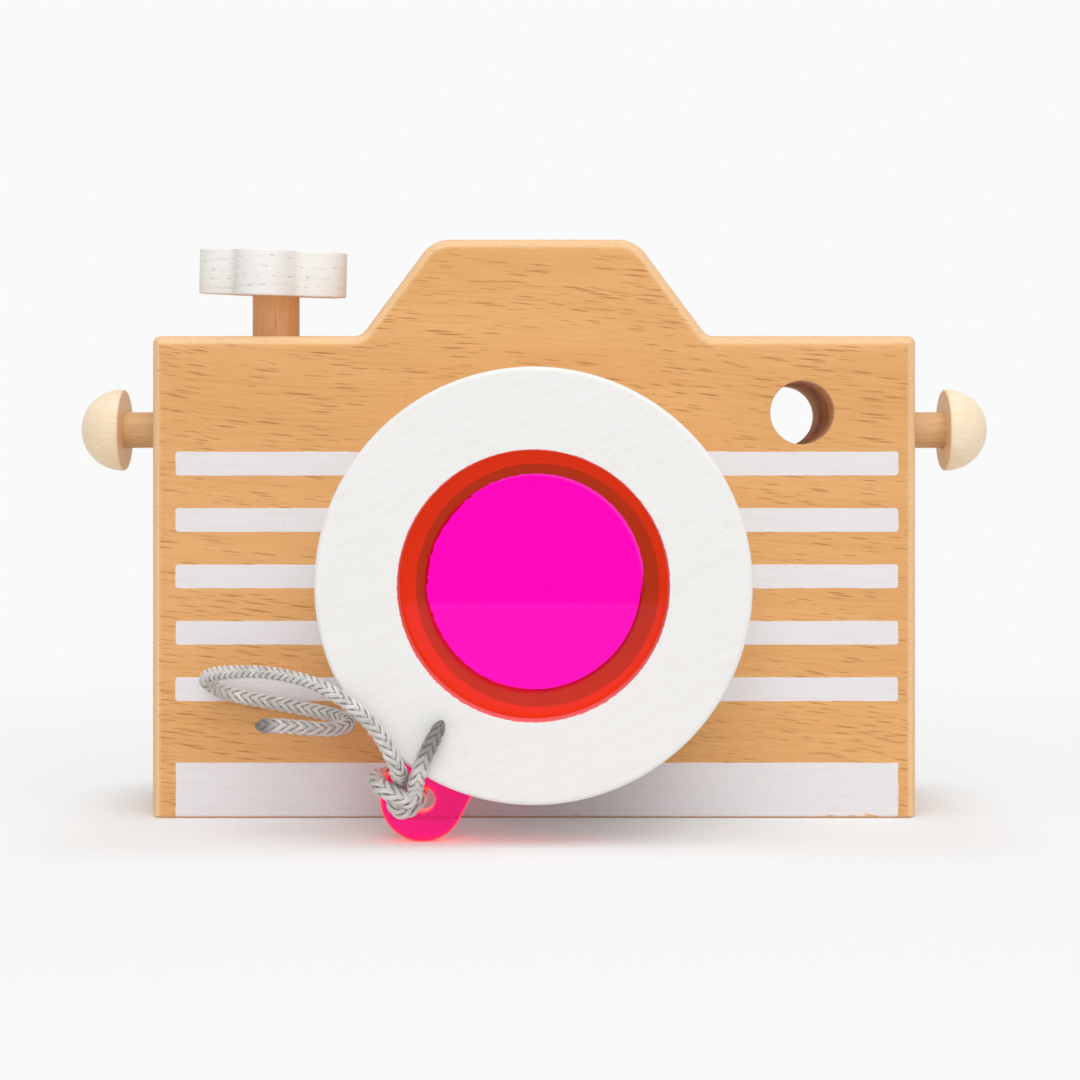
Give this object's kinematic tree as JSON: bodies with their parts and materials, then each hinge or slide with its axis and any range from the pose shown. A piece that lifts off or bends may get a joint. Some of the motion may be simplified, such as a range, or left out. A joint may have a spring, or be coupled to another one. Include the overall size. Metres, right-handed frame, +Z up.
{
  "type": "toy camera",
  "caption": "Wooden toy camera with a sight hole, strap pegs, a petal winder that turns, a turning kaleidoscope lens and a pull-out colour filter on a knotted cord.",
  "frame": {"origin": "middle of the body's flat base", "axes": "+Z up, +X to the right as the lens is looked at, lens facing -Y"},
  "size_m": [0.147, 0.0528, 0.0908],
  "materials": {
    "beech": "fine sanded and oiled, with white painted stripes on the front",
    "birch": "turned and bare",
    "white_paint": "thin white paint over the grain",
    "pink_acrylic": "polished see-through fluorescent sheet",
    "clear_acrylic": "polished and clear",
    "grey_cord": "round braid with heat-sealed ends"
  },
  "bodies": {
    "camera_body": {"body": "beech", "strap_peg_left": "birch", "strap_peg_right": "birch"},
    "winder": {"winder_stem": "beech", "winder_wheel": "white_paint"},
    "lens": {"lens_barrel": "white_paint", "filter_guide": "white_paint", "front_ring": "white_paint", "kaleidoscope_lens": "clear_acrylic", "eyepiece_ring": "beech"},
    "filter": {"colour_filter": "pink_acrylic", "pull_cord": "grey_cord", "cord_knot": "grey_cord", "cord_tail": "grey_cord"}
  },
  "joints": [
    {"name": "winder_turn", "type": "hinge", "parent": "camera_body", "child": "winder", "pos_m": [-0.042, 0, 0.0828], "axis": [0, 0, 1], "continuous": true},
    {"name": "lens_turn", "type": "hinge", "parent": "camera_body", "child": "lens", "pos_m": [0, 0, 0.0378], "axis": [0, 1, 0], "continuous": true},
    {"name": "filter_slide", "type": "slide", "parent": "lens", "child": "filter", "axis": [-0.4584, 0, -0.8887], "range_m": [0, 0.055]}
  ]
}
